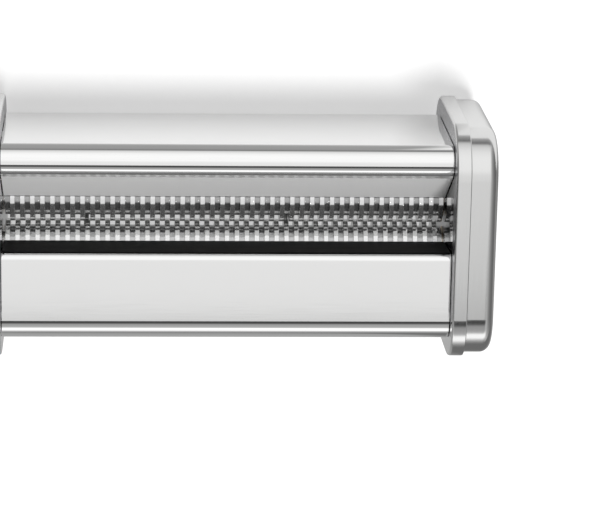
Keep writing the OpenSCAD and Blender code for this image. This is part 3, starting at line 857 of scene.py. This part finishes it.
class NOODLE_OT_rollers(bpy.types.Operator):
    """Two ring rollers with chamfered rings, journals and shaft ends"""

    bl_idname = "noodle.rollers"
    bl_label = "Ring rollers"

    def execute(self, context):
        sizes = context.scene.noodle_rollers
        pitch = 2 * (HALF_W - sizes.end_gap) / sizes.rings
        if pitch / 2 - sizes.ring_gap < 2 * sizes.chamfer:
            raise RuntimeError("the rings are narrower than their two chamfers")
        # The front roller takes lighter copies of the rings' steel, painted light; both rollers'
        # groove floors take darker steel, painted shade
        front = self.roller(sizes, "front_roller", "drive_roller", -AXIS_Y, pitch, 0.0)
        refinish(front, "bright_ring_steel", lambda co: True)
        self.refinish_grooves(sizes, front, "bright_groove_steel", -AXIS_Y)
        rear = self.roller(sizes, "rear_roller", "driven_roller", AXIS_Y, pitch, pitch / 2)
        self.refinish_grooves(sizes, rear, "groove_steel", AXIS_Y)
        return {"FINISHED"}

    def roller(self, sizes, name, body, y, pitch, shift):
        """One roller, turned from a single outline of its shaft, rings and grooves."""
        low, high = corners(name)
        clip_low, clip_high = corners(name + "_clips")
        bush = corners("right_rear_bush")[1].x - MIDDLE_X
        left = self.shaft_end(sizes, low.x, clip_low.x, MIDDLE_X - bush, -1)
        right = self.shaft_end(sizes, high.x, clip_high.x, MIDDLE_X + bush, 1)
        bm = lathe(left + self.barrel(sizes, pitch, shift) + right[::-1], y, AXIS_Z)
        if low.x < LEFT_END:
            self.hexagon(bm, sizes, low.x, LEFT_END, y)
        return new_piece(bm, name + "_rings", body, "roller_steel", [name], sharp=25.0)

    def refinish_grooves(self, sizes, piece, slot, y):
        """Gives the grooves' floors a darker finish of their own: painted shade between the rings.
        """
        root = RING_R - sizes.groove + TINY
        refinish(piece, slot, lambda co: math.hypot(co.y - y, co.z - AXIS_Z) < root)

    def shaft_end(self, sizes, end, clip, bush, way):
        """Outline of one shaft end; a drive end stops where its hexagon starts."""
        seat, journal = sizes.seat / 2, sizes.journal / 2
        groove = seat - sizes.clip_depth
        clip_in = clip - way * sizes.clip
        stop = max(end, LEFT_END)
        return [(stop, 0.0), (stop, seat - sizes.chamfer), (stop - way * sizes.chamfer, seat),
                (clip, seat), (clip, groove), (clip_in, groove), (clip_in, seat),
                (bush, seat), (bush, journal), (MIDDLE_X + way * (HALF_W - sizes.end_gap), journal)]

    def barrel(self, sizes, pitch, shift):
        """Outline of the rings and grooves, from left to right."""
        root, chamfer = RING_R - sizes.groove, sizes.chamfer
        width = pitch / 2 - sizes.ring_gap
        left = MIDDLE_X - HALF_W + sizes.end_gap
        right = MIDDLE_X + HALF_W - sizes.end_gap
        points = [(left, root)]
        for k in range(sizes.rings):
            x = left + shift + sizes.ring_gap / 2 + k * pitch
            end = x + width
            points += [(x, root), (x, RING_R - chamfer), (x + chamfer, RING_R),
                       (end - chamfer, RING_R), (end, RING_R - chamfer), (end, root)]
        return points + [(right, root)]

    def hexagon(self, bm, sizes, start, end, y):
        """The drive hexagon between two places along X."""
        turn = Matrix.Rotation(math.pi / 2, 4, "Y") @ Matrix.Rotation(math.pi / 6, 4, "Z")
        place = Matrix.Translation(((start + end) / 2, y, AXIS_Z))
        r = sizes.hexagon / 2 / math.cos(math.pi / 6)
        made = bmesh.ops.create_cone(bm, cap_ends=True, segments=6, depth=end - start,
                                     matrix=place @ turn, radius1=r, radius2=r)
        faces = {f for v in made["verts"] for f in v.link_faces}
        bmesh.ops.recalc_face_normals(bm, faces=list(faces))


class NOODLE_OT_fittings(bpy.types.Operator):
    """Turned steel pieces of the crank: hub, pin and pin cap"""

    bl_idname = "noodle.fittings"
    bl_label = "Crank fittings"

    def execute(self, context):
        sizes = context.scene.noodle_crank
        self.hub(sizes)
        self.pin(sizes)
        self.cap(sizes)
        return {"FINISHED"}

    def turned(self, outline, node, z):
        """A turned piece whose outline starts at its right end."""
        bm = lathe(outline, -AXIS_Y, z, steps=72)
        new_piece(bm, node + "_turned", "drive_roller", "satin_steel", [node], sharp=30.0)

    def hub(self, sizes):
        """A hub with a turned line, and a rivet through the arm."""
        low, high = corners("crank_hub")
        arm_low, arm_high = corners("crank_arm")
        r, edge, pin = (high.y - low.y) / 2, sizes.hub_edge, sizes.pin / 2
        head, depth = pin + sizes.rivet_rim, sizes.hub_line_depth
        line = high.x - sizes.hub_line
        line_end = line - sizes.hub_line_floor - 2 * depth
        outline = [(high.x, 0)] + rounded(high.x, r, edge, -1, True)
        outline += [(line, r), (line - depth, r - depth), (line_end + depth, r - depth),
                    (line_end, r)]
        outline += rounded(arm_high.x, r, edge, 1, False)
        outline += [(arm_high.x, pin), (arm_low.x, pin), (arm_low.x, head)]
        outline += rounded(low.x, head, sizes.rivet_edge, 1, False) + [(low.x, 0)]
        self.turned(outline, "crank_hub", AXIS_Z)

    def pin(self, sizes):
        """A headed pin on the arm's free end."""
        low, high = corners("crank_pin")
        arm_end = corners("crank_arm")[1].x
        pin, head = sizes.pin / 2, (high.y - low.y) / 2
        outline = [(high.x, 0)] + rounded(high.x, head, sizes.rivet_edge, -1, True)
        outline += [(arm_end, head), (arm_end, pin), (low.x, pin), (low.x, 0)]
        self.turned(outline, "crank_pin", self.pin_z())

    def cap(self, sizes):
        """A domed cap that keeps the grip on the pin."""
        low, high = corners("crank_pin_cap")
        r = (high.y - low.y) / 2
        outline = [(high.x, 0), (high.x, r)] + rounded(low.x, r, sizes.cap_edge, 1, False)
        self.turned(outline + [(low.x, 0)], "crank_pin_cap", self.pin_z())

    def pin_z(self):
        """Height of the pin's axis."""
        low, high = corners("crank_pin_cap")
        return (low.z + high.z) / 2


class NOODLE_OT_arm(bpy.types.Operator):
    """Flat arm of the crank, round at both ends"""

    bl_idname = "noodle.arm"
    bl_label = "Crank arm"

    def execute(self, context):
        sizes = context.scene.noodle_crank
        low, high = corners("crank_arm")
        bm = bmesh.new()
        faces = rounded_face(bm, low, high, (high.y - low.y) / 2 - sizes.arm_flat, low.x, 16)
        pull(bm, faces, (high.x - low.x, 0, 0))
        bmesh.ops.recalc_face_normals(bm, faces=bm.faces)
        bmesh.ops.bevel(bm, geom=rim_edges(bm, low.x) + rim_edges(bm, high.x), segments=4,
                        offset=sizes.arm_edge, profile=0.5, affect="EDGES", material=-1)
        new_piece(bm, "crank_arm_bar", "drive_roller", "polished_steel", ["crank_arm"])
        return {"FINISHED"}


class NOODLE_OT_grip(bpy.types.Operator):
    """Turned wooden grip with a line near each end"""

    bl_idname = "noodle.grip"
    bl_label = "Crank grip"

    def execute(self, context):
        sizes = context.scene.noodle_crank
        low, high = corners("crank_grip")
        run, bore = high.x - low.x, sizes.pin / 2 + sizes.grip_play
        outline = [(high.x, bore)]
        for i in range(GRIP_STEPS + 1):
            t = i / GRIP_STEPS
            r = self.radius(sizes, (high.y - low.y) / 2, t, run)
            if i in (GRIP_LINE, GRIP_STEPS - GRIP_LINE):
                r -= sizes.bead
            outline.append((high.x - t * run, r))
        outline.append((low.x, bore))
        bm = lathe(outline + [outline[0]], -AXIS_Y, (low.z + high.z) / 2, steps=72)
        new_piece(bm, "crank_grip_turned", "grip", "grip_wood", ["crank_grip"], sharp=40.0)
        return {"FINISHED"}

    def radius(self, sizes, r, t, run):
        """Radius of the swollen, round-ended grip at the share t of its length."""
        r *= sizes.waist + (1 - sizes.waist) * math.sin(math.pi * t)
        edge, near = sizes.grip_edge, min(t, 1 - t) * run
        if near < edge:
            r -= edge - math.sqrt(max(0, edge ** 2 - (edge - near) ** 2))
        return r


STEPS = [NOODLE_OT_stage, NOODLE_OT_finishes, NOODLE_OT_covers, NOODLE_OT_bands,
         NOODLE_OT_cap_covers, NOODLE_OT_rollers, NOODLE_OT_fittings, NOODLE_OT_arm,
         NOODLE_OT_grip]


class NOODLE_PT_panel(bpy.types.Panel):
    """Lists the steps that build the unit"""

    bl_label = "Noodle Cutter"
    bl_idname = "NOODLE_PT_panel"
    bl_space_type = "VIEW_3D"
    bl_region_type = "UI"
    bl_category = "Noodle Cutter"

    def draw(self, context):
        for step in STEPS:
            self.layout.operator(step.bl_idname)


GROUPS = {"noodle_sheets": SheetSizes, "noodle_caps": CapSizes, "noodle_rollers": RollerSizes,
          "noodle_crank": CrankSizes, "noodle_finishes": Finishes, "noodle_stage": StageSizes}


def register():
    """Adds the sizes, the steps and the panel."""
    for cls in [*GROUPS.values(), *STEPS, NOODLE_PT_panel]:
        bpy.utils.register_class(cls)
    for name, group in GROUPS.items():
        setattr(bpy.types.Scene, name, PointerProperty(type=group))


def unregister():
    """Takes them away again."""
    for name in GROUPS:
        delattr(bpy.types.Scene, name)
    for cls in [NOODLE_PT_panel, *STEPS, *GROUPS.values()]:
        bpy.utils.unregister_class(cls)


def main():
    """Builds the unit step by step."""
    register()
    for step in STEPS:
        getattr(bpy.ops.noodle, step.bl_idname.split(".")[1])()


if __name__ == "__main__":
    main()
